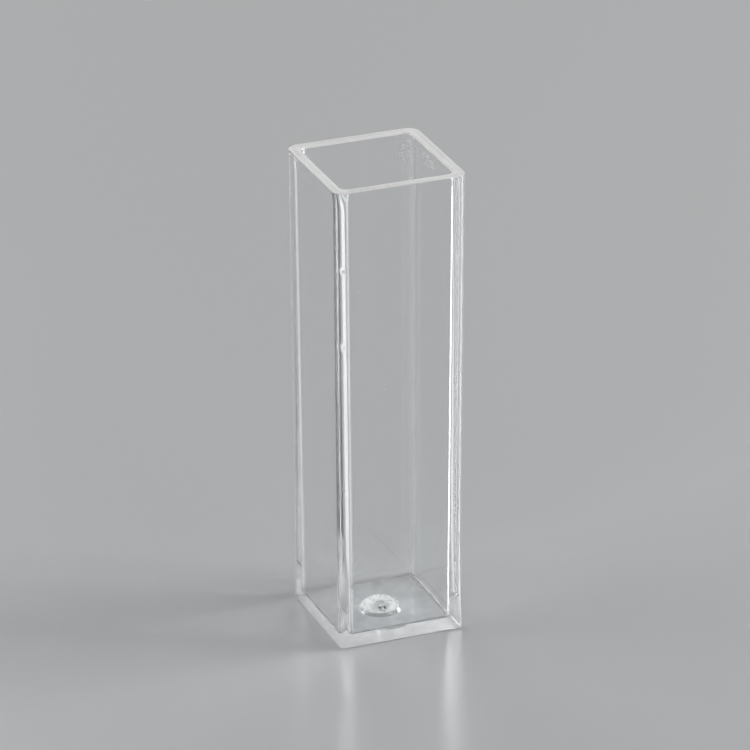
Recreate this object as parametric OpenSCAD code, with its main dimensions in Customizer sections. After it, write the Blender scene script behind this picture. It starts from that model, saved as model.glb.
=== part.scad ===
// Square disposable cuvette, moulded in one piece of clear plastic.
// Millimetres. +Z is up, the origin is the centre of the foot, and the walls face X and Y.
//
// The outside and the cavity are each one upright outline, swept round a square whose corners
// turn about four upright axes. The outline is a list of [distance out from the corner axis,
// height]. What lies between the two sweeps is the wall. As the draft leans a wall out, the
// corner radius opens by the same amount, as it does in the mould.

/* [Body] */
// Overall height, foot to rim
height = 45; // [25:1:60]
// Width across the walls, just under the lip
width_top = 12.5; // [11.8:0.1:15]
// Draft: how far each side leans in on its way down to the foot
draft = 0.25; // [0.05:0.05:0.6]
// Radius of the upright corners at the foot
corner_foot = 0.75; // [0.4:0.05:1.6]
// Bevel round the underside of the foot
foot_bevel = 0.12; // [0.05:0.01:0.3]

/* [Cavity] */
// Thickness of a wall, just under the lip
wall_top = 0.95; // [0.6:0.05:1.8]
// Thickness of a wall where it meets the floor
wall_foot = 1.0; // [0.7:0.05:2]
// Thickness of the floor
floor_t = 1.0; // [0.7:0.05:3]
// Radius of the cavity's upright corners at the floor
cavity_corner_foot = 0.5; // [0.45:0.05:1.5]
// Rounding between the floor and the walls
floor_round = 0.4; // [0.1:0.05:0.4]

/* [Lip] */
// Height of the flare that ends in the rim
lip_h = 1.1; // [0.7:0.1:4]
// How far the flare stands out from the wall at the rim
lip_out = 0.1; // [0.05:0.01:0.4]
// Rounding of the outer edge of the rim
rim_round_out = 0.12; // [0.05:0.01:0.2]
// Rounding of the inner edge of the rim
rim_round_in = 0.25; // [0.05:0.01:0.35]

/* [Gate] */
// Width of the button on the floor, opposite the gate
button_d = 3.6; // [2.6:0.1:6]
// Width of the button's flat top
button_top_d = 2.0; // [0.8:0.1:2.5]
// Height of the button
button_h = 0.5; // [0.2:0.05:1.5]
// Width of the recess in the underside, round the gate
recess_d = 4.0; // [3.8:0.1:7]
// Width of the recess at its roof, where its leaning side ends
recess_top_d = 3.2; // [2.6:0.1:3.7]
// Thickness of the floor left above the recess
recess_roof = 0.4; // [0.3:0.05:0.5]
// Width of the boss that carries the gate, in the middle of the recess
boss_d = 2.0; // [0.8:0.1:2.2]
// How far the end of the boss stays back from the plane of the foot
boss_clearance = 0.15; // [0.05:0.01:0.19]

/* [Hidden] */
$fn = 64;

over = 0.5;           // how far a cut runs past the face that it opens
round_steps = 4;      // chords in a rounded edge
button_steps = 8;     // chords in the button's shoulder
lip_z = height - lip_h;

// Half widths, and the offset of each square's corner axes from the centre
half_top = width_top / 2;
half_foot = half_top - draft;
half_lip = half_top + lip_out;
half_floor = half_foot - wall_foot;
half_mouth = half_top - wall_top;
axis_out = half_foot - corner_foot;
axis_cavity = half_floor - cavity_corner_foot;
recess_depth = floor_t - recess_roof;

// Half width of a leaning wall at height z, from its values at heights z0 and z1
function leaning(h0, h1, z0, z1, z) = h0 + (h1 - h0) * (z - z0) / (z1 - z0);
function half_outer(z) = leaning(half_foot, half_top, 0, lip_z, z);
function half_cavity(z) = leaning(half_floor, half_mouth, floor_t, lip_z, z);

// Points of a rounded edge that ends at the rim: half is the face's half width, side is -1 where
// the edge turns in, as on the outside, and 1 where it opens out, as in the cavity
function rim_edge(half, r, side) = [
    for (i = [0:round_steps])
        let (a = 90 * i / round_steps)
        [half + side * r * (1 - cos(a)), height - r * (1 - sin(a))]
];

// Points of the rounding that joins the floor of the cavity to its wall
function floor_edge(r) = [
    for (i = [0:round_steps])
        let (a = 90 * i / round_steps)
        [half_cavity(floor_t + r) - r * (1 - sin(a)), floor_t + r * (1 - cos(a))]
];

// Foot to rim: bevel, drafted wall, flare, rounded edge
outline_outside = concat(
    [[half_foot - foot_bevel, 0], [half_outer(foot_bevel), foot_bevel], [half_top, lip_z]],
    rim_edge(half_lip, rim_round_out, -1)
);

// Floor to rim: rounding, drafted wall, rounded edge, and on out of the top
outline_cavity = concat(
    floor_edge(floor_round),
    rim_edge(half_cavity(height), rim_round_in, 1),
    [[half_cavity(height) + rim_round_in, height + over]]
);

// The button in half section, from half way down the floor: a shoulder that rises in an S to a
// flat top
outline_button = concat(
    [[button_d / 2, floor_t / 2]],
    [for (i = [0:button_steps])
        let (t = i / button_steps)
        [button_d / 2 - (button_d - button_top_d) / 2 * t,
         floor_t + button_h * (1 - cos(180 * t)) / 2]]
);

// Closes an outline against the upright line at its origin
function closed(outline) = concat(
    [[0, outline[0][1]]], outline, [[0, outline[len(outline) - 1][1]]]
);

// Sweeps an outline of half widths round a square with its corner axes at +-axis
module sweep_square(outline, axis) {
    corner = [for (p = outline) [p[0] - axis, p[1]]];
    across = concat(outline, [for (i = [len(outline) - 1:-1:0]) [-outline[i][0], outline[i][1]]]);
    for (turn = [0, 90])
        rotate([90, 0, turn])
            linear_extrude(2 * axis, center = true) polygon(across);
    for (turn = [0:90:270])
        rotate(turn) translate([axis, axis])
            rotate_extrude(angle = 90) polygon(closed(corner));
}

// The recess in the underside, round the boss: its side leans in towards the roof
module gate_recess() {
    difference() {
        rotate_extrude() polygon([
            [0, -over], [recess_d / 2, -over], [recess_d / 2, 0],
            [recess_top_d / 2, recess_depth], [0, recess_depth]
        ]);
        translate([0, 0, boss_clearance]) cylinder(d = boss_d, h = floor_t);
    }
}

module cuvette_body() {
    color("lightcyan", 0.5)
    difference() {
        union() {
            difference() {
                sweep_square(outline_outside, axis_out);
                sweep_square(outline_cavity, axis_cavity);
            }
            rotate_extrude() polygon(closed(outline_button));
        }
        gate_recess();
    }
}

cuvette_body();
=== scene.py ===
"""A clear moulded cuvette on a pale floor, in soft studio light.

Lengths are in millimetres up to the moment a mesh is filled, where MM turns them into metres.
The cuvette's sizes repeat those of the CAD source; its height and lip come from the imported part.
"""

import math

import bpy
import numpy as np
from mathutils import Matrix, Vector


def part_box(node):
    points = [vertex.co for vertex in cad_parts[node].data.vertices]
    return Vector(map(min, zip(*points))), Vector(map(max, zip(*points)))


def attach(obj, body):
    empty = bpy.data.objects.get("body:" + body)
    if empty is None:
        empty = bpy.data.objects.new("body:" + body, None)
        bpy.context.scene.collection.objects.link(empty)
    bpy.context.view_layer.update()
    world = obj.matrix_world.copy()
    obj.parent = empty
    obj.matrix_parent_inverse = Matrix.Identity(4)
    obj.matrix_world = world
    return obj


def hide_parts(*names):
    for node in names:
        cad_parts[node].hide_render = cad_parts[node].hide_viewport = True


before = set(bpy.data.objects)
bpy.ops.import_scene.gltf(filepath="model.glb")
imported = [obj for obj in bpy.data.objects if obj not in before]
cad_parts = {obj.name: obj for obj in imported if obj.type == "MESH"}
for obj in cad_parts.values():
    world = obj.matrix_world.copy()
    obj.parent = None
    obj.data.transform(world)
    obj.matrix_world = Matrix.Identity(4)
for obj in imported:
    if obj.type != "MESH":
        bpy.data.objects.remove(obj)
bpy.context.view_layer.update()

MM = 0.001
NODE = "cuvette_body"

# ---------------------------------------------------------------- sizes of the cuvette, in mm
node_low, node_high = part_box(NODE)
HEIGHT = node_high.z / MM
HALF_LIP = node_high.x / MM
LIP_OUT = 0.1               # how far the lip flares out from the wall
LIP_H = 1.1
LIP_BEND = 8.0              # radius of the bend where the lip starts
HALF_TOP = HALF_LIP - LIP_OUT
DRAFT = 0.25                # how far each side leans in on its way down
CORNER = 0.86               # radius of the upright corners
RIM_CORNER = 1.15           # radius that they open out to at the rim
FOOT_CORNER = 0.4           # radius that the outer ones close down to at the foot
WALL_TOP = 0.95
WALL_FOOT = 1.0
FLOOR_T = 1.0
CAVITY_CORNER = 0.52
CAVITY_RIM_CORNER = 0.75
CORNER_OPENS_OVER = 1.8     # depth below the rim over which the corners open out
CORNER_CLOSES_OVER = 12.0   # height above the foot over which the outer ones close down
FOOT_BEVEL = 0.12
FLOOR_ROUND = 0.4
RIM_ROUND_OUT = 0.12
RIM_ROUND_IN = 0.25
BUTTON_R = 1.8
BUTTON_TOP_R = 1.0
BUTTON_H = 0.5
RECESS_R = 2.0
RECESS_TOP_R = 1.6
RECESS_DEPTH = 0.6
BOSS_R = 1.0
BOSS_CLEARANCE = 0.15
SOFT_EDGE = 0.05            # rounding of the small moulded edges underneath

LIP_Z = HEIGHT - LIP_H
HALF_FOOT = HALF_TOP - DRAFT
HALF_MOUTH = HALF_TOP - WALL_TOP
HALF_CAVITY_FLOOR = HALF_FOOT - WALL_FOOT

# Steps of the mesh along the path round the square, and along the arcs of the section
CORNER_STEPS = 16
SIDE_STEPS = 20
SMALL_ARC_STEPS = 3
RECESS_ARC_STEPS = 5
OUTER_ARC_STEPS = 6
INNER_ARC_STEPS = 8
BUTTON_STEPS = 14
# Widest gap between two rings
UNDER_GAP = 0.1
WALL_GAP = 0.25
FLOOR_GAP = 0.3
# Level strips at the ends of the runs of the section, beside the edge that each is named for
RECESS_STRIP = 0.3
OUTSIDE_STRIP = 0.4         # at the foot and at the rim
MOUTH_STRIP = 0.1
CAVITY_FLOOR_STRIP = 0.45
BUTTON_STRIP = (0.05, 0.6)  # from and to these distances outside the button
CROWN_R = 0.7 * BUTTON_TOP_R
SMALLEST_RING = 0.02        # radius of the rings that the two fans close
SAME_PLACE = 1e-6           # points closer than this are one point


def leaning(h0, h1, z0, z1, z):
    """Half width at height z of a wall that leans from h0 at z0 to h1 at z1."""
    return h0 + (h1 - h0) * (z - z0) / (z1 - z0)


def half_outer(z):
    """Half width of the outside at height z, from the foot to the lip's start."""
    return leaning(HALF_FOOT, HALF_TOP, 0, LIP_Z, z)


def half_cavity(z):
    """Half width of the cavity at height z: one straight lean from its floor past the rim."""
    return leaning(HALF_CAVITY_FLOOR, HALF_MOUTH, FLOOR_T, LIP_Z, z)


# ---------------------------------------------------------------- the section, as rows of a grid
def corner_fillet(a, b, c, radius, steps):
    """Points and normals of the arc of that radius in the bend a-b-c.

    The arc starts radius * tan(half the turn) before b. Its centre is square to a-b from there,
    on the inside of the bend, and it turns evenly from the normal of a-b to the normal of b-c.
    """
    a, b, c = (np.array(p, float) for p in (a, b, c))
    u = (b - a) / np.linalg.norm(b - a)
    v = (c - b) / np.linalg.norm(c - b)
    normal = np.array([u[1], -u[0]])
    turn = math.atan2(u[0] * v[1] - u[1] * v[0], u @ v)
    back = radius * abs(math.tan(turn / 2))
    side = 1.0 if turn > 0 else -1.0
    centre = b - u * back - normal * radius * side
    t = np.linspace(0, turn, steps + 1)[:, None]
    normals = normal * np.cos(t) + np.array([-normal[1], normal[0]]) * np.sin(t)
    return centre + normals * radius * side, normals


def section_run(corners, spacing):
    """A run of the section: straight between its corners, with an arc at each bend.

    corners are (distance out, height, radius, steps of the arc), and the two end ones need no
    radius. Returns points and outward normals, with extra points so that no straight stretch
    between two of them is longer than spacing.
    """
    points = []
    normals = []

    def straight(start, end):
        d = end - start
        length = np.linalg.norm(d)
        count = max(1, math.ceil(length / spacing))
        points.extend(start + d * s for s in np.linspace(0, 1, count + 1))
        normals.extend([np.array([d[1], -d[0]]) / length] * (count + 1))

    here = np.array(corners[0][:2], float)
    for before, bend, after in zip(corners, corners[1:], corners[2:]):
        arc, arc_normals = corner_fillet(before[:2], bend[:2], after[:2], *bend[2:])
        if np.linalg.norm(arc[0] - here) > SAME_PLACE:
            straight(here, arc[0])
        points.extend(arc[1:-1])
        normals.extend(arc_normals[1:-1])
        here = arc[-1]
    straight(here, np.array(corners[-1][:2], float))
    return np.array(points), np.array(normals)


def button_run():
    """The button's shoulder, from the floor to its flat top.

    Height rises as half of (1 - cos) of the way in, so it leaves the floor and meets the top
    level, and the normal is square to that slope.
    """
    t = np.linspace(0, 1, BUTTON_STEPS + 1)
    run = BUTTON_R - BUTTON_TOP_R
    out = BUTTON_R - run * t
    height = FLOOR_T + BUTTON_H * (1 - np.cos(np.pi * t)) / 2
    slope = BUTTON_H * np.pi * np.sin(np.pi * t) / (2 * run)
    length = np.sqrt(1 + slope ** 2)
    return np.stack([out, height], 1), np.stack([slope / length, 1 / length], 1)


def corner_radius(z, low, high):
    """Radius of an upright corner at height z, and its slope: low, opening to high at the rim.

    It opens with the square of the way up from CORNER_OPENS_OVER below the rim.
    """
    way = min(max((z - HEIGHT) / CORNER_OPENS_OVER + 1, 0.0), 1.0)
    return low + (high - low) * way ** 2, (high - low) * 2 * way / CORNER_OPENS_OVER


def outer_axis(z):
    """Offset of the outer corners' axes from the middle at height z, and its slope.

    It is the half width less the corner's radius, and stays level round the rim's edge. The
    radius closes down to the foot with the square of the way down from CORNER_CLOSES_OVER.
    """
    z = min(z, HEIGHT - RIM_ROUND_OUT)
    lean = LIP_OUT / LIP_H if z > LIP_Z else DRAFT / LIP_Z
    radius, opens = corner_radius(z, CORNER, RIM_CORNER)
    low = max(1 - z / CORNER_CLOSES_OVER, 0.0)
    radius -= (CORNER - FOOT_CORNER) * low ** 2
    opens += (CORNER - FOOT_CORNER) * 2 * low / CORNER_CLOSES_OVER
    return HALF_TOP + (z - LIP_Z) * lean - radius, lean - opens


def cavity_axis(z):
    """Offset of the cavity corners' axes from the middle at height z, and its slope.

    It is the half width less the corner's radius, and stays level round the rim's edge.
    """
    z = min(z, HEIGHT - RIM_ROUND_IN)
    lean = (HALF_MOUTH - HALF_CAVITY_FLOOR) / (LIP_Z - FLOOR_T)
    radius, opens = corner_radius(z, CAVITY_CORNER, CAVITY_RIM_CORNER)
    return half_cavity(z) - radius, lean - opens


def no_axis(z):
    """A round ring turns about the middle, at every height."""
    return 0.0, 0.0


def body_rows():
    """Every ring of the body, from the middle of the underside round to the top of the button.

    A row is [distance out, height, normal out, normal up, corner axis, slope of that axis,
    round], where round is 1 for a circle about the middle and 0 for the square.
    """
    gate = section_run([
        (SMALLEST_RING, BOSS_CLEARANCE),
        (BOSS_R, BOSS_CLEARANCE, SOFT_EDGE, SMALL_ARC_STEPS),
        (BOSS_R, RECESS_DEPTH, SOFT_EDGE, SMALL_ARC_STEPS),
        (RECESS_TOP_R, RECESS_DEPTH, SOFT_EDGE, RECESS_ARC_STEPS),
        (RECESS_R, 0, SOFT_EDGE, RECESS_ARC_STEPS),
        (RECESS_R + RECESS_STRIP, 0)], UNDER_GAP)
    outside = section_run([
        (HALF_FOOT - OUTSIDE_STRIP, 0),
        (HALF_FOOT - FOOT_BEVEL, 0, FOOT_BEVEL, SMALL_ARC_STEPS),
        (half_outer(FOOT_BEVEL), FOOT_BEVEL, FOOT_BEVEL, SMALL_ARC_STEPS),
        (HALF_TOP, LIP_Z, LIP_BEND, OUTER_ARC_STEPS),
        (HALF_LIP, HEIGHT, RIM_ROUND_OUT, OUTER_ARC_STEPS),
        (HALF_LIP - OUTSIDE_STRIP, HEIGHT)], WALL_GAP)
    mouth = half_cavity(HEIGHT)
    cavity = section_run([
        (mouth + RIM_ROUND_IN + MOUTH_STRIP, HEIGHT),
        (mouth, HEIGHT, RIM_ROUND_IN, INNER_ARC_STEPS),
        (HALF_CAVITY_FLOOR, FLOOR_T, FLOOR_ROUND, INNER_ARC_STEPS),
        (HALF_CAVITY_FLOOR - CAVITY_FLOOR_STRIP, FLOOR_T)], WALL_GAP)
    near, far = BUTTON_STRIP
    ledge = section_run([(BUTTON_R + far, FLOOR_T), (BUTTON_R + near, FLOOR_T)], FLOOR_GAP)
    button_top = FLOOR_T + BUTTON_H
    crown = section_run([(CROWN_R, button_top), (SMALLEST_RING, button_top)], FLOOR_GAP)
    runs = ((gate, no_axis, 1), (outside, outer_axis, 0), (cavity, cavity_axis, 0),
            (ledge, no_axis, 1), (button_run(), no_axis, 1), (crown, no_axis, 1))
    return np.array([[*p, *n, *axis(p[1]), is_round]
                     for (points, normals), axis, is_round in runs
                     for p, n in zip(points, normals)])


def path_columns():
    """The square path once round: for each column, its place on the square of corner axes, whose
    half side is 1, and its direction out.

    A point of a ring is place * (offset of the corner axes) + direction * (corner radius). The
    first quarter is an arc of directions at one corner and the side after it, and the other
    three are that quarter turned.
    """
    arc = np.linspace(0, np.pi / 2, CORNER_STEPS + 1)
    side = np.linspace(1, -1, SIDE_STEPS + 1)[1:-1]
    axis = np.concatenate([np.ones((len(arc), 2)), np.stack([side, np.ones_like(side)], 1)])
    out = np.concatenate([np.stack([np.cos(arc), np.sin(arc)], 1),
                          np.tile([0.0, 1.0], (len(side), 1))])
    turns = [np.array([[c, s], [-s, c]]) for c, s in ((1, 0), (0, 1), (-1, 0), (0, -1))]
    return np.concatenate([axis @ t for t in turns]), np.concatenate([out @ t for t in turns])


def swept_body():
    """Vertices, normals, quads and end fans of the closed body.

    Each row, h out from the middle with its corner axes at c, is carried round the path. On a
    square ring x, y = place * c + direction * (h - c), and on a round one h * (cos, sin) of the
    angle that the column has on the cavity's floor. Where c changes with height by the slope s,
    the normal of a corner tips up by s * (normal out) * (1 - place . direction).
    """
    axis, out = path_columns()
    h, z, n_out, n_up, c, c_slope, is_round = body_rows().T[:, :, None]
    floor_ring = axis * (HALF_CAVITY_FLOOR - CAVITY_CORNER) + out * CAVITY_CORNER
    radial = floor_ring / np.linalg.norm(floor_ring, axis=1)[:, None]
    pick = is_round[:, :, None]
    square_xy = c[:, :, None] * axis + (h - c)[:, :, None] * out
    xy = h[:, :, None] * radial * pick + square_xy * (1 - pick)
    facing = (radial * pick + out * (1 - pick)) * n_out[:, :, None]
    tip = (1 - (axis * out).sum(1)) * c_slope * n_out * (1 - is_round)
    rings = len(h)
    columns = len(axis)
    heights = np.broadcast_to(z[:, :, None], (rings, columns, 1))
    co = np.concatenate([xy, heights], 2).reshape(-1, 3)
    no = np.concatenate([facing, (n_up + tip)[:, :, None]], 2).reshape(-1, 3)
    i, j = np.meshgrid(np.arange(rings - 1), np.arange(columns), indexing="ij")
    k = (j + 1) % columns
    quads = np.stack([i * columns + j, i * columns + k, (i + 1) * columns + k,
                      (i + 1) * columns + j], -1).reshape(-1, 4)
    ring = np.arange(columns)
    after = (ring + 1) % columns
    under = np.full(columns, rings * columns)
    top = (rings - 1) * columns
    fans = np.concatenate([np.stack([under, after, ring], 1),
                           np.stack([under + 1, top + ring, top + after], 1)])
    co = np.concatenate([co, [[0, 0, z[0, 0]], [0, 0, z[-1, 0]]]])
    no = np.concatenate([no, [[0, 0, -1.0], [0, 0, 1.0]]])
    return co, no, quads, fans


def fill_mesh(name, co, faces, normals=None):
    """An object at the origin with that mesh, its places in mm turned into metres."""
    mesh = bpy.data.meshes.new(name)
    mesh.from_pydata((np.asarray(co) * MM).tolist(), [], faces)
    mesh.polygons.foreach_set("use_smooth", [True] * len(mesh.polygons))
    if normals is not None:
        mesh.normals_split_custom_set_from_vertices(
            (normals / np.linalg.norm(normals, axis=1)[:, None]).tolist())
    mesh.update()
    piece = bpy.data.objects.new(name, mesh)
    bpy.context.scene.collection.objects.link(piece)
    return piece


co, no, quads, fans = swept_body()
body = fill_mesh("clear_body", co, quads.tolist() + fans.tolist(), no)


# ---------------------------------------------------------------- finishes
PLASTIC_IOR = 1.59
CLEAR = 1.0                 # transmission of the polished walls
MILKY = 0.5                 # transmission of the satin faces
SATIN_SHEEN = 0.5
POLISH_ROUGH = 0.02
POLISHED_COLOUR = (0.985, 0.992, 0.996)
RIM_COLOURS = (0.78, 0.776, 0.765), (0.985, 0.98, 0.97)
FOOT_COLOURS = (0.7, 0.715, 0.72), (0.985, 0.99, 0.995)
# The dark end of the button's colours is painted shade, for its near side and its pits
BUTTON_COLOURS = (0.04, 0.042, 0.045), (0.99, 0.993, 0.997)
RIM_MIDDLE = (HALF_LIP - RIM_ROUND_OUT + HALF_MOUTH + RIM_ROUND_IN) / 2

# Marks on the polished walls, as (middle, half size along x, y and z), in mm
SCUFFED = (
    ((5.3, 0.7, 43.8), (0.5, 2.3, 0.9)),
    ((4.8, 5.2, 43.2), (0.9, 0.5, 1.6)),
)
FROSTED = ((-4.7, 5.1, 44.0), (0.8, 0.7, 0.85))
MARK_ROUGH = 0.35           # what a full mark adds to the roughness
MARK_COAT_ROUGH = 0.6       # a mark is a rough coat of a high index, so it scatters white
MARK_COAT_IOR = 4.0
MARK_HEIGHT = 0.002
# Drag lines down the left corner, whose place is y - x
LINES_START = 8.6
LINES_FULL = 10.2
LINES_HEIGHT = 0.0018
# Shallow sink marks in the front corner
SINKS = (((-6.0, -6.0, 37.5), (0.6, 0.6, 0.55)), ((-6.0, -6.0, 30.1), (0.6, 0.6, 0.6)))
SINK_DEPTH = 0.045
# The corner posts, where both x and y are past these
POST_START = 4.6
POST_FULL = 5.2

# Grain and marks of the satin faces
SATIN_GRAIN = 0.004
BUTTON_GRAIN = 0.0015
NICK_DEPTH = 0.02
PIT_DEPTH = 0.03
SCRATCH_HEIGHT = 0.03
# Pits in the button: dents made by the bump, with painted shade in them that darkens their colour
# towards the dark end of BUTTON_COLOURS; the faint ones take FAINT of both
BUTTON_PITS = ((-0.53, -1.21, 1.33), (-0.06, -1.35, 1.3))
FAINT_PITS = ((-0.33, -0.47, 1.5), (-0.04, -0.52, 1.5))
FAINT = 0.4
PIT_R = 0.16
# Painted shade over the near side of the button, where its pits are: there its slopes face the
# camera and are darkened in colour
PAINTED_SHADE_NEAR_SIDE = ((-0.13, -0.83, 1.4), (1.0, 0.95, 1.2))
# The scratch in the foot beside the recess, and how far it is turned from the x axis
FOOT_SCRATCH = ((-2.45, -2.65, 0.0), (0.75, 0.16, 0.2))
FOOT_SCRATCH_TURN = 0.46
SCRATCH_LIGHTER = 1.2
# Flow marks: how fast they change round the gate and along their run, and their share
FLOW_ROUND = 3.2
FLOW_ALONG = 0.3
FLOW_SHARE = 0.45


def add_node(tree, kind, inputs=None, **settings):
    """Adds a node with its settings; each input takes a value or another node's socket."""
    made = tree.nodes.new(kind)
    for key, value in settings.items():
        setattr(made, key, value)
    for key, value in (inputs or {}).items():
        if isinstance(value, bpy.types.NodeSocket):
            tree.links.new(value, made.inputs[key])
        else:
            made.inputs[key].default_value = value
    return made


def maths(tree, operation, *values):
    """The values joined from the left by that operation, in one Math node for each join."""
    result = values[0]
    for value in values[1:]:
        joined = add_node(tree, "ShaderNodeMath", {0: result, 1: value}, operation=operation)
        result = joined.outputs[0]
    return result


def add(tree, *values):
    """The sum of the values."""
    return maths(tree, "ADD", *values)


def subtract(tree, value, less):
    """The first value less the second."""
    return maths(tree, "SUBTRACT", value, less)


def multiply(tree, *values):
    """The product of the values."""
    return maths(tree, "MULTIPLY", *values)


def largest(tree, *values):
    """The largest of the values."""
    return maths(tree, "MAXIMUM", *values)


def on_vector(tree, operation, *inputs):
    """The outputs of a Vector Math node with those inputs."""
    return add_node(tree, "ShaderNodeVectorMath", dict(enumerate(inputs)),
                    operation=operation).outputs


def parts_of(tree, place):
    """The X, Y and Z of a place."""
    return add_node(tree, "ShaderNodeSeparateXYZ", {0: place}).outputs


def between(tree, value, low, high, to_low=0.0, to_high=1.0):
    """Carries value from low..high to to_low..to_high along a smooth S."""
    return add_node(tree, "ShaderNodeMapRange",
                    {"Value": value, "From Min": low, "From Max": high,
                     "To Min": to_low, "To Max": to_high},
                    interpolation_type="SMOOTHSTEP").outputs["Result"]


def noise(tree, place, scale, detail, distortion=0.0):
    """Noise from 0 to 1, in lumps about 1 / scale wide, with finer ones added by detail."""
    return add_node(tree, "ShaderNodeTexNoise",
                    {"Vector": place, "Scale": scale, "Detail": detail,
                     "Distortion": distortion}).outputs["Fac"]


def stretched(tree, place, scale, turn=(0, 0, 0)):
    """The place scaled along each axis, and then turned about them."""
    return add_node(tree, "ShaderNodeMapping",
                    {"Vector": place, "Rotation": turn, "Scale": scale}).outputs[0]


def patch(tree, place, middle, half, turn=(0, 0, 0), soft=0.5):
    """A mask over an ellipsoid with those half sizes, turned about its middle.

    The distance from the middle is 1 at its edge: the mask is 1 out to soft, and falls to 0 there.
    """
    inputs = {"Vector": place, "Location": middle, "Rotation": turn, "Scale": half}
    scaled = add_node(tree, "ShaderNodeMapping", inputs, vector_type="TEXTURE").outputs[0]
    return between(tree, on_vector(tree, "LENGTH", scaled)["Value"], soft, 1.0, 1.0, 0.0)


def start_group(name, inputs, outputs):
    """A node group with float sockets, and a vector socket for Place."""
    group = bpy.data.node_groups.new(name, "ShaderNodeTree")
    for key in inputs:
        kind = "NodeSocketVector" if key == "Place" else "NodeSocketFloat"
        group.interface.new_socket(key, in_out="INPUT", socket_type=kind)
    for key in outputs:
        group.interface.new_socket(key, in_out="OUTPUT", socket_type="NodeSocketFloat")
    given = group.nodes.new("NodeGroupInput").outputs
    return group, given, group.nodes.new("NodeGroupOutput").inputs


def specks_group():
    """Small round specks: the middles of cells Spacing apart, thinned to a Share of them."""
    group, given, result = start_group("specks", ("Place", "Spacing", "Size", "Share"), ("Mask",))
    scale = maths(group, "DIVIDE", 1.0, given["Spacing"])
    cells = add_node(group, "ShaderNodeTexVoronoi", {"Vector": given["Place"], "Scale": scale})
    edge = maths(group, "DIVIDE", given["Size"], given["Spacing"])
    dot = between(group, cells.outputs["Distance"], 0.0, edge, 1.0, 0.0)
    luck = add_node(group, "ShaderNodeSeparateColor", {"Color": cells.outputs["Color"]}).outputs[0]
    kept = maths(group, "LESS_THAN", luck, given["Share"])
    group.links.new(multiply(group, dot, kept), result["Mask"])
    return group


def clouds_group():
    """Soft blotches about 1 / Scale wide, carried to the range from Low to High."""
    group, given, result = start_group("clouds", ("Place", "Scale", "Low", "High"), ("Value",))
    blotch = noise(group, given["Place"], given["Scale"], detail=4.0, distortion=0.4)
    value = between(group, blotch, 0.35, 0.65, given["Low"], given["High"])
    group.links.new(value, result["Value"])
    return group


def grain_group():
    """The fine grain of a spark-eroded mould face, as a height in mm: two noises added."""
    group, given, result = start_group("grain", ("Place", "Height"), ("Height",))
    fine = noise(group, given["Place"], scale=14.0, detail=2.0)
    coarse = noise(group, given["Place"], scale=4.0, detail=2.0)
    group.links.new(multiply(group, add(group, fine, coarse), given["Height"]), result["Height"])
    return group


SPECKS = specks_group()
CLOUDS = clouds_group()
GRAIN = grain_group()


def use_group(tree, group, **values):
    """The output of a group placed in this tree, with these values for its inputs."""
    return add_node(tree, "ShaderNodeGroup", values, node_tree=group).outputs[0]


def start_plastic(name, transmission):
    """A plastic material, its tree, its shader and the place on the body in mm."""
    material = bpy.data.materials.new(name)
    material.use_nodes = True
    tree = material.node_tree
    shader = tree.nodes["Principled BSDF"]
    shader.inputs["IOR"].default_value = PLASTIC_IOR
    shader.inputs["Transmission Weight"].default_value = transmission
    spot = add_node(tree, "ShaderNodeTexCoord").outputs["Object"]
    return material, tree, shader, stretched(tree, spot, (1 / MM,) * 3)


def set_bump(tree, shader, height):
    """Raises the surface by height, in mm."""
    bump = add_node(tree, "ShaderNodeBump", {"Height": height, "Distance": MM, "Strength": 1.0})
    tree.links.new(bump.outputs["Normal"], shader.inputs["Normal"])


def mix_colours(tree, share, low, high):
    """The colour that lies between low, where share is 0, and high, where it is 1."""
    mix = add_node(tree, "ShaderNodeMix", {"Factor": share}, data_type="RGBA")
    for key, colour in (("A", low), ("B", high)):
        [end] = [i for i in mix.inputs if i.name == key and i.type == "RGBA"]
        end.default_value = (*colour, 1)
    [result] = [o for o in mix.outputs if o.type == "RGBA"]
    return result


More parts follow.
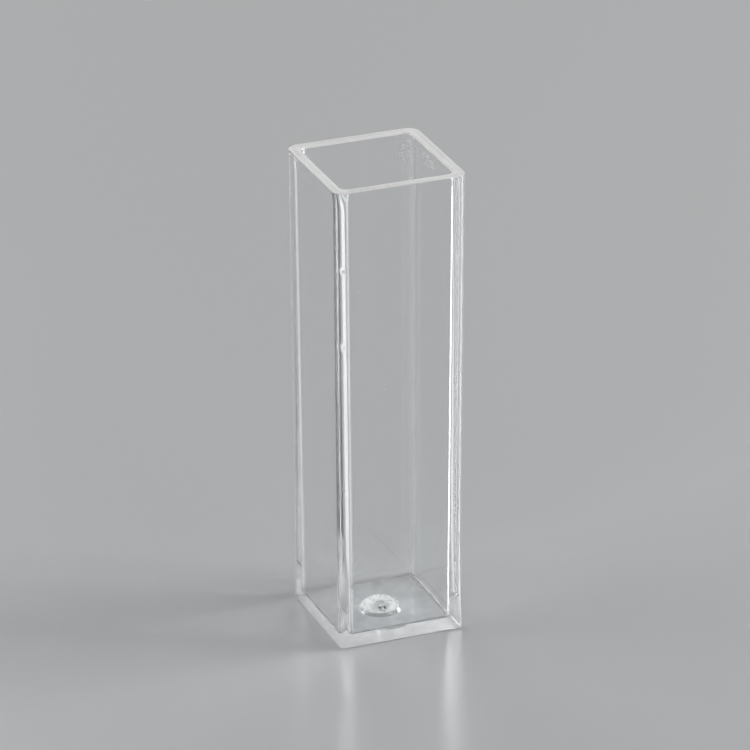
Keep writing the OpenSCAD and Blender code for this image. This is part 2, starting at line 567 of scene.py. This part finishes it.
def polished_walls():
    """Clear polished plastic, with lines down one corner, specks, and scuffs near the rim."""
    material, tree, shader, place = start_plastic("polished_walls", CLEAR)
    at = parts_of(tree, place)
    left_corner = between(tree, subtract(tree, at["Y"], at["X"]), LINES_START, LINES_FULL)
    drawn_out = stretched(tree, place, (6.0, 6.0, 0.04))
    lines = noise(tree, drawn_out, scale=1.0, detail=2.0)
    lines = multiply(tree, lines, left_corner, LINES_HEIGHT)

    scuffs = largest(tree, *[patch(tree, place, *scuff) for scuff in SCUFFED])
    flattened = stretched(tree, place, (1.6, 1.6, 4.5), turn=(0.5, 0.0, 0.0))
    hairs = noise(tree, flattened, scale=1.6, detail=6.0, distortion=1.2)
    scuffs = multiply(tree, scuffs, between(tree, hairs, low=0.5, high=0.58))
    blotch = use_group(tree, CLOUDS, Place=place, Scale=2.0, Low=0.15, High=1.0)
    frosted = multiply(tree, patch(tree, place, *FROSTED, soft=0.2), blotch)

    few = use_group(tree, SPECKS, Place=place, Spacing=1.3, Size=0.12, Share=0.06)
    many = use_group(tree, SPECKS, Place=place, Spacing=0.9, Size=0.12, Share=0.1)
    away = parts_of(tree, on_vector(tree, "ABSOLUTE", place)["Vector"])
    nearer = maths(tree, "MINIMUM", away["X"], away["Y"])
    on_posts = multiply(tree, many, between(tree, nearer, POST_START, POST_FULL))
    marks = largest(tree, scuffs, frosted, few, on_posts)

    haze = use_group(tree, CLOUDS, Place=place, Scale=0.35, Low=POLISH_ROUGH, High=POLISH_ROUGH * 2)
    rough = add(tree, haze, multiply(tree, marks, MARK_ROUGH))
    tree.links.new(rough, shader.inputs["Roughness"])
    tree.links.new(marks, shader.inputs["Coat Weight"])
    shader.inputs["Coat Roughness"].default_value = MARK_COAT_ROUGH
    shader.inputs["Coat IOR"].default_value = MARK_COAT_IOR
    shader.inputs["Base Color"].default_value = (*POLISHED_COLOUR, 1)

    sinks = largest(tree, *[patch(tree, place, *sink, soft=0.0) for sink in SINKS])
    height = add(tree, lines, multiply(tree, marks, MARK_HEIGHT))
    set_bump(tree, shader, subtract(tree, height, multiply(tree, sinks, SINK_DEPTH)))
    return material


def finish_satin(tree, shader, colours, share, rough, height):
    """Gives a milky satin its colours, mixed by share, its roughness, its bump and its sheen."""
    tree.links.new(mix_colours(tree, share, *colours), shader.inputs["Base Color"])
    tree.links.new(rough, shader.inputs["Roughness"])
    set_bump(tree, shader, height)
    shader.inputs["Sheen Weight"].default_value = SATIN_SHEEN


def satin_rim():
    """The rim's flat top: see-through satin, slightly warm, with nicks along it."""
    material, tree, shader, place = start_plastic("satin_rim", MILKY)
    away = parts_of(tree, on_vector(tree, "ABSOLUTE", place)["Vector"])
    off_middle = subtract(tree, largest(tree, away["X"], away["Y"]), RIM_MIDDLE)
    off_middle = add_node(tree, "ShaderNodeMath", {0: off_middle}, operation="ABSOLUTE").outputs[0]
    edge = between(tree, off_middle, low=0.04, high=0.32)
    cloud = use_group(tree, CLOUDS, Place=place, Scale=0.9, Low=0.0, High=0.6)
    nicks = use_group(tree, SPECKS, Place=place, Spacing=0.8, Size=0.1, Share=0.3)
    rough = use_group(tree, CLOUDS, Place=place, Scale=1.7, Low=0.32, High=0.48)
    grain = use_group(tree, GRAIN, Place=place, Height=SATIN_GRAIN)
    height = subtract(tree, grain, multiply(tree, nicks, NICK_DEPTH))
    finish_satin(tree, shader, RIM_COLOURS, largest(tree, cloud, edge), rough, height)
    return material


def flow_marks(tree, place):
    """Streaks that run straight out from the gate.

    They are noise at the place (direction out from the middle * FLOW_ROUND, distance *
    FLOW_ALONG), which changes fast round the gate and slowly along each streak.
    """
    flat = on_vector(tree, "MULTIPLY", place, (1, 1, 0))["Vector"]
    direction = on_vector(tree, "NORMALIZE", flat)["Vector"]
    distance = on_vector(tree, "LENGTH", flat)["Value"]
    outward = add_node(tree, "ShaderNodeVectorMath", {0: direction, "Scale": FLOW_ROUND},
                       operation="SCALE").outputs[0]
    along = add_node(tree, "ShaderNodeCombineXYZ",
                     {"Z": multiply(tree, distance, FLOW_ALONG)}).outputs[0]
    path = on_vector(tree, "ADD", outward, along)["Vector"]
    streaks = noise(tree, path, scale=1.0, detail=4.0, distortion=0.8)
    return between(tree, streaks, low=0.4, high=0.66)


def satin_foot():
    """The underside and its recess: milky satin, with flow marks that run out from the gate."""
    material, tree, shader, place = start_plastic("satin_foot", MILKY)
    blotch = use_group(tree, CLOUDS, Place=place, Scale=0.55, Low=0.0, High=1.0)
    middle, half = FOOT_SCRATCH
    scratch = patch(tree, place, middle, half, (0, 0, FOOT_SCRATCH_TURN))
    share = add(tree, multiply(tree, flow_marks(tree, place), FLOW_SHARE),
                multiply(tree, blotch, 1 - FLOW_SHARE), multiply(tree, scratch, SCRATCH_LIGHTER))
    rough = use_group(tree, CLOUDS, Place=place, Scale=0.8, Low=0.5, High=0.32)
    grain = use_group(tree, GRAIN, Place=place, Height=SATIN_GRAIN)
    height = add(tree, grain, multiply(tree, scratch, SCRATCH_HEIGHT))
    finish_satin(tree, shader, FOOT_COLOURS, share, rough, height)
    return material


def satin_button():
    """The button on the floor: a finer satin, with painted shade over its near side and a few pits
    with painted shade in them.
    """
    material, tree, shader, place = start_plastic("satin_button", MILKY)
    size = (PIT_R, PIT_R, PIT_R)
    deep = [patch(tree, place, middle, size, soft=0.4) for middle in BUTTON_PITS]
    faint = [patch(tree, place, middle, size, soft=0.2) for middle in FAINT_PITS]
    pits = largest(tree, *deep, multiply(tree, largest(tree, *faint), FAINT))
    # Painted shade: the near side of the button is darkened in colour, by a blotchy amount
    blotch = use_group(tree, CLOUDS, Place=place, Scale=1.3, Low=0.3, High=0.45)
    near_side_shade = multiply(tree, patch(tree, place, *PAINTED_SHADE_NEAR_SIDE, soft=0.6), blotch)
    # The colour's share, lowered by the painted shade of the near side and of the pits
    share = multiply(tree, subtract(tree, 1.0, near_side_shade), subtract(tree, 1.0, pits))
    rough = use_group(tree, CLOUDS, Place=place, Scale=1.7, Low=0.25, High=0.36)
    grain = use_group(tree, GRAIN, Place=place, Height=BUTTON_GRAIN)
    height = subtract(tree, grain, multiply(tree, pits, PIT_DEPTH))
    finish_satin(tree, shader, BUTTON_COLOURS, share, rough, height)
    return material


FINISHES = (polished_walls, satin_rim, satin_foot, satin_button)
WALLS, RIM, FOOT, BUTTON = range(len(FINISHES))
RIM_FACES_UP = 0.45         # a face of the rim's flat or of its edge, by its normal's rise
FOOT_FACES_DOWN = -0.8


def finish_faces():
    """Which finish each face of the body takes, from where it is and the way it faces.

    The first fan closes the underside, and the second one the button.
    """
    middle = co[quads].mean(1)
    out = np.hypot(middle[:, 0], middle[:, 1])
    up = no[quads].mean(1)[:, 2]
    rim = (middle[:, 2] > HEIGHT - RIM_ROUND_IN) & (up > RIM_FACES_UP)
    foot = (middle[:, 2] < FLOOR_T) & (up < FOOT_FACES_DOWN)
    button = (middle[:, 2] > FLOOR_T) & (out < BUTTON_R)
    fan = len(fans) // 2
    return np.concatenate([np.select([rim, foot, button], [RIM, FOOT, BUTTON], WALLS),
                           np.full(fan, FOOT), np.full(fan, BUTTON)])


for finish in FINISHES:
    body.data.materials.append(finish())
body.data.polygons.foreach_set("material_index", finish_faces())
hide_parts(NODE)
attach(body, "root")

# ---------------------------------------------------------------- floor, light and camera
FLOOR_HALF = 550
FLOOR_Z = -0.02             # a hair under the foot
FLOOR_COLOUR = (0.40, 0.405, 0.41)
FLOOR_ROUGH = 0.22
ROOM_LIGHT = (0.33, 0.33, 0.33)
BACKDROP = (0.42, 0.425, 0.43)

SENSOR = 36                 # width of the camera's frame
FOCAL_LENGTH = 275.935
AZIMUTH = -21.422           # degrees round from the front
ELEVATION = 24.060
ROLL = -0.273
DISTANCE = 522.456
SHIFT_RIGHT = 0.202
SHIFT_UP = -1.374
CLIP = (0.01, 20)           # metres

SOFTBOX_DISTANCE = 500


def add_floor():
    """A level square of slightly glossy paint."""
    signs = ((-1, -1), (1, -1), (1, 1), (-1, 1))
    made = fill_mesh("floor", [[x * FLOOR_HALF, y * FLOOR_HALF, FLOOR_Z] for x, y in signs],
                     [[0, 1, 2, 3]])
    material = bpy.data.materials.new("pale_floor")
    material.use_nodes = True
    shader = material.node_tree.nodes["Principled BSDF"]
    shader.inputs["Base Color"].default_value = (*FLOOR_COLOUR, 1)
    shader.inputs["Roughness"].default_value = FLOOR_ROUGH
    made.data.materials.append(material)
    return made


def add_camera():
    """Looks at the middle of the body from AZIMUTH and ELEVATION, moved over by the shifts."""
    a, e, roll = (math.radians(x) for x in (AZIMUTH, ELEVATION, ROLL))
    forward = Vector((-math.sin(a) * math.cos(e), math.cos(a) * math.cos(e), -math.sin(e)))
    level = forward.cross(Vector((0, 0, 1))).normalized()
    upright = level.cross(forward)
    right = level * math.cos(roll) + upright * math.sin(roll)
    up = upright * math.cos(roll) - level * math.sin(roll)
    data = bpy.data.cameras.new("camera")
    data.sensor_width = SENSOR
    data.lens = FOCAL_LENGTH
    data.clip_start, data.clip_end = CLIP
    camera = bpy.data.objects.new("camera", data)
    bpy.context.scene.collection.objects.link(camera)
    target = Vector((0, 0, HEIGHT / 2))
    place = (target - forward * DISTANCE - right * SHIFT_RIGHT - up * SHIFT_UP) * MM
    camera.matrix_world = Matrix((
        (right.x, up.x, -forward.x, place.x), (right.y, up.y, -forward.y, place.y),
        (right.z, up.z, -forward.z, place.z), (0, 0, 0, 1)))
    bpy.context.scene.camera = camera


def softbox(name, azimuth, elevation, size, radiance):
    """A soft box that faces the body: azimuth is from the view direction, + to the right."""
    a = math.radians(azimuth - AZIMUTH)
    e = math.radians(elevation)
    toward = Vector((math.sin(a) * math.cos(e), math.cos(a) * math.cos(e), math.sin(e)))
    data = bpy.data.lights.new(name, "AREA")
    data.shape = "RECTANGLE"
    data.size = size[0] * MM
    data.size_y = size[1] * MM
    data.energy = radiance * math.pi * data.size * data.size_y
    lamp = bpy.data.objects.new(name, data)
    bpy.context.scene.collection.objects.link(lamp)
    lamp.location = toward * SOFTBOX_DISTANCE * MM
    lamp.rotation_mode = "QUATERNION"
    lamp.rotation_quaternion = (-toward).to_track_quat("-Z", "Y")


def add_room():
    """The room's even light, and the backdrop, which shows behind the floor and in the plastic."""
    world = bpy.data.worlds.new("studio")
    world.use_nodes = True
    tree = world.node_tree
    ray = add_node(tree, "ShaderNodeLightPath").outputs
    seen = largest(tree, ray["Is Camera Ray"], ray["Is Glossy Ray"], ray["Is Transmission Ray"])
    shade = mix_colours(tree, seen, ROOM_LIGHT, BACKDROP)
    tree.links.new(shade, tree.nodes["Background"].inputs["Color"])
    bpy.context.scene.world = world


floor = add_floor()
add_camera()
softbox("left_softbox", azimuth=-95, elevation=24, size=(400, 240), radiance=4.8)
softbox("right_softbox", azimuth=84, elevation=24, size=(260, 200), radiance=15.0)
softbox("back_softbox", azimuth=-22, elevation=26, size=(140, 280), radiance=3.8)
add_room()
bpy.context.scene.view_settings.view_transform = "Standard"

# A ray meets many faces inside clear walls, so its path is long, and no face on it is blurred.
paths = bpy.context.scene.cycles
paths.max_bounces = 32
paths.transmission_bounces = 32
paths.glossy_bounces = 24
paths.diffuse_bounces = 8
paths.blur_glossy = 0
